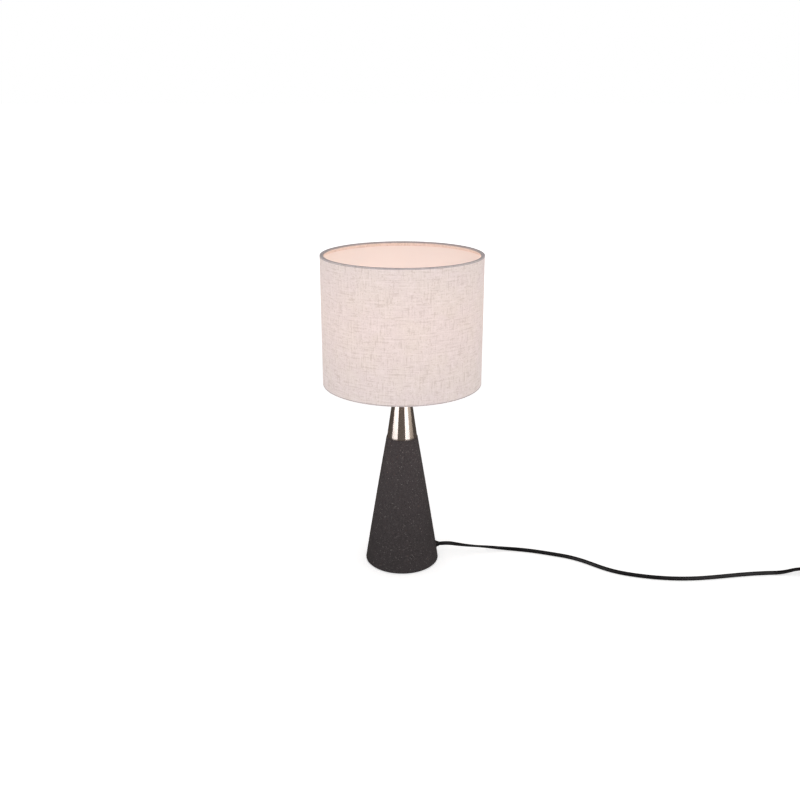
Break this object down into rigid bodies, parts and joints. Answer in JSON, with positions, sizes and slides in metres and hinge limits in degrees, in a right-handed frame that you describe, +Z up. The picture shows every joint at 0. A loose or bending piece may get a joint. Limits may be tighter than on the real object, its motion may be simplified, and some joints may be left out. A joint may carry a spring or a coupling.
{
  "type": "table lamp",
  "caption": "Small table lamp: speckled dark cone base, brushed metal neck, linen drum shade, screw bulb and holder, flat mains lead with in-line switch and two-pin plug.",
  "frame": {"origin": "on the floor, on the lamp's axis", "axes": "+Z up along the lamp's axis; the mains lead leaves the base towards +X; the view in the picture is from -Y"},
  "size_m": [0.7141, 0.2809, 0.4106],
  "materials": {
    "felt_pad": "matt foam",
    "cast_base": "matt, fine sandy speckle",
    "zinc_steel": "zinc plated",
    "iron": "rough casting",
    "black_pvc": "semi-gloss PVC",
    "black_plastic": "fine moulded grain",
    "brown_core": "PVC insulation",
    "blue_core": "PVC insulation",
    "brushed_nickel": "satin, brushed round the axis",
    "yellow_zinc": "yellow passivated",
    "ceramic": "unglazed",
    "brass": "plain",
    "shade_linen": "slubbed linen weave",
    "rim_linen": "rolled edge of the same linen",
    "shade_lining": "smooth translucent lining",
    "white_wire": "white powder coat",
    "nickel_cap": "nickel plated",
    "black_glass": "black glass",
    "white_plastic": "satin",
    "opal": "opal, glowing",
    "white_board": "solder mask with yellow chips",
    "green_board": "circuit board",
    "nylon_tie": "nylon"
  },
  "bodies": {
    "lamp": {"foot_pad": "felt_pad", "base_cone": "cast_base", "base_plate": "zinc_steel", "plate_screws": "zinc_steel", "ballast": "iron", "ballast_screws": "zinc_steel", "cord_bush": "black_pvc", "cord_clamp": "black_plastic", "clamp_screws": "zinc_steel", "inner_cord": "black_pvc", "live_core": "brown_core", "neutral_core": "blue_core", "neck_cone": "brushed_nickel", "threaded_tube": "yellow_zinc", "tube_washer": "zinc_steel", "lock_washer": "zinc_steel", "base_nut": "yellow_zinc", "neck_nut": "yellow_zinc", "holder_base": "black_plastic", "holder_shell": "black_plastic", "holder_insert": "ceramic", "screw_shell": "brass", "centre_contact": "brass", "terminal_screws": "brass", "grub_screw": "zinc_steel", "cord_run": "black_pvc", "switch_lower": "black_plastic", "switch_upper": "black_plastic", "switch_pin": "zinc_steel", "switch_contacts": "brass", "switch_terminals": "brass", "switch_screws": "zinc_steel", "cord_tail": "black_pvc", "cord_coil": "black_pvc", "coil_tie": "nylon_tie", "cord_end": "black_pvc", "plug_relief": "black_pvc", "plug_body": "black_pvc", "plug_pins": "nickel_cap", "pin_sleeves": "black_pvc"},
    "shade_ring": {"shade_ring": "black_plastic"},
    "shade": {"shade_fabric": "shade_linen", "shade_liner": "shade_lining", "shade_seam": "shade_linen", "top_trim": "rim_linen", "bottom_trim": "rim_linen", "top_wire": "white_wire", "bottom_wire": "white_wire", "fitter_arms": "white_wire", "fitter_ring": "white_wire"},
    "bulb_lift": {"bulb_cap": "nickel_cap", "bulb_insulator": "black_glass", "bulb_tip": "nickel_cap"},
    "bulb": {"bulb_housing": "white_plastic", "bulb_globe": "opal", "led_board": "white_board", "driver_board": "green_board"},
    "rocker": {"switch_rocker": "black_plastic"}
  },
  "joints": [
    {"name": "shade_turn", "type": "hinge", "parent": "lamp", "child": "shade", "pos_m": [0, 0, 0.275], "axis": [0, 0, 1], "continuous": true},
    {"name": "ring_rise", "type": "slide", "parent": "lamp", "child": "shade_ring", "axis": [0, 0, 1], "range_m": [0, 0.022]},
    {"name": "bulb_rise", "type": "slide", "parent": "lamp", "child": "bulb_lift", "axis": [0, 0, 1], "range_m": [0, 0.0142]},
    {"name": "bulb_turn", "type": "hinge", "parent": "bulb_lift", "child": "bulb", "pos_m": [0, 0, 0.3], "axis": [0, 0, 1], "range_deg": [0, 1800]},
    {"name": "rocker_tilt", "type": "hinge", "parent": "lamp", "child": "rocker", "pos_m": [0.555, -0.048, 0.0125], "axis": [0, 1, 0], "range_deg": [-16, 0]}
  ],
  "couplings": [
    {"joint": "bulb_rise", "follows": "bulb_turn", "m_per_rad": 0.000449}
  ]
}
